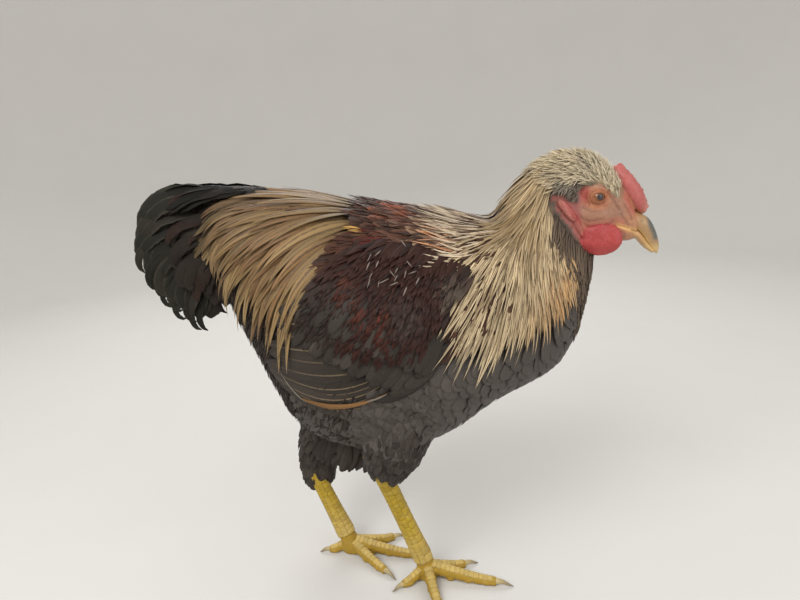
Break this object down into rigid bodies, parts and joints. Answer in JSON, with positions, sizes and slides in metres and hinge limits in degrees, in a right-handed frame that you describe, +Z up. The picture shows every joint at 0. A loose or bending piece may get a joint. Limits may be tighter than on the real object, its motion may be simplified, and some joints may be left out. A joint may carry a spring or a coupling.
{
  "type": "wyandotte chicken, still life-size model",
  "caption": "Life-size still model of a standing young wyandotte cockerel with straw hackle, dark bushy tail, low rose comb and yellow legs.",
  "frame": {"origin": "middle of the underside of the whole bird, on the floor that the feet stand on", "axes": "+X towards the beak, +Y to the bird's left, +Z up"},
  "size_m": [0.394, 0.171, 0.341],
  "materials": {
    "coat_dark": "soft slate-black feathers",
    "straw": "silky straw-coloured feathers",
    "wing": "mahogany and dark laced feathers",
    "face": "bare folded skin",
    "red": "satin fleshy skin",
    "horn": "satin horn",
    "eye": "wet gloss",
    "leg": "scaly satin skin",
    "claw": "satin horn"
  },
  "bodies": {
    "root": {"torso": "coat_dark", "rump": "straw", "neck": "straw", "tail": "coat_dark", "head": "face", "wing_right": "wing", "wing_left": "wing", "eye_right": "eye", "eye_left": "eye", "earlobe_right": "red", "earlobe_left": "red", "wattle_right": "red", "wattle_left": "red", "comb": "red", "beak_upper": "horn", "beak_lower": "horn", "thigh_right": "coat_dark", "thigh_left": "coat_dark", "shank_right": "leg", "shank_left": "leg", "foot_right": "leg", "foot_left": "leg", "claw_right_inner": "claw", "claw_right_middle": "claw", "claw_right_outer": "claw", "claw_right_back": "claw", "claw_left_inner": "claw", "claw_left_middle": "claw", "claw_left_outer": "claw", "claw_left_back": "claw"}
  },
  "joints": []
}
